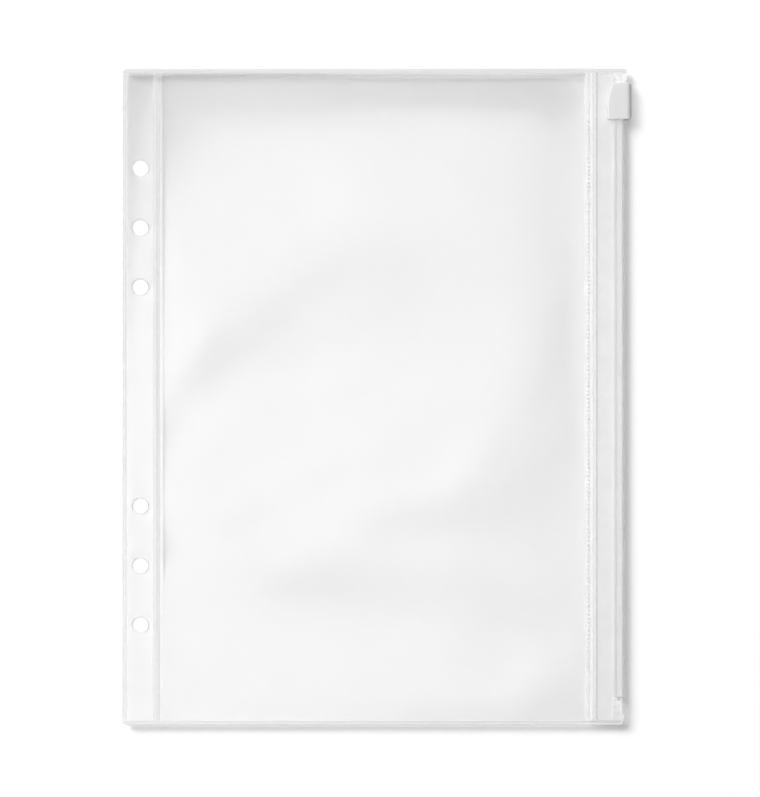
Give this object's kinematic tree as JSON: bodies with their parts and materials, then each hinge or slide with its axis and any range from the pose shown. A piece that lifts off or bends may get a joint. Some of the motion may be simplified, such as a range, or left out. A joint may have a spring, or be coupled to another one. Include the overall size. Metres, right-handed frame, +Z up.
{
  "type": "zippered binder pocket",
  "caption": "Clear film pocket with a punched ring-binder margin, welded edges and a press zip that a slider opens and closes along its outer edge.",
  "frame": {"origin": "on the table, under the middle of the whole object's box", "axes": "+X across the page from the punched margin to the zip, +Y up the page towards the closed slider, +Z up off the table"},
  "size_m": [0.1626, 0.21, 0.0056],
  "materials": {
    "film": "clear soft vinyl film, calendered, half-matt",
    "weld": "clear vinyl fused by a heated bar",
    "zip": "clear extruded vinyl",
    "slider": "milky moulded polypropylene"
  },
  "bodies": {
    "pocket": {"front_sheet": "film", "back_sheet": "film", "top_weld": "weld", "bottom_weld": "weld", "edge_weld": "weld", "spine_weld": "weld", "front_lap": "weld", "back_lap": "weld", "zip_front_half": "zip", "zip_back_half": "zip", "zip_top_stop": "zip", "zip_bottom_stop": "zip"},
    "slider": {"slider": "slider"}
  },
  "joints": [
    {"name": "slider_slide", "type": "slide", "parent": "pocket", "child": "slider", "axis": [0, -1, 0], "range_m": [0, 0.1841]}
  ]
}
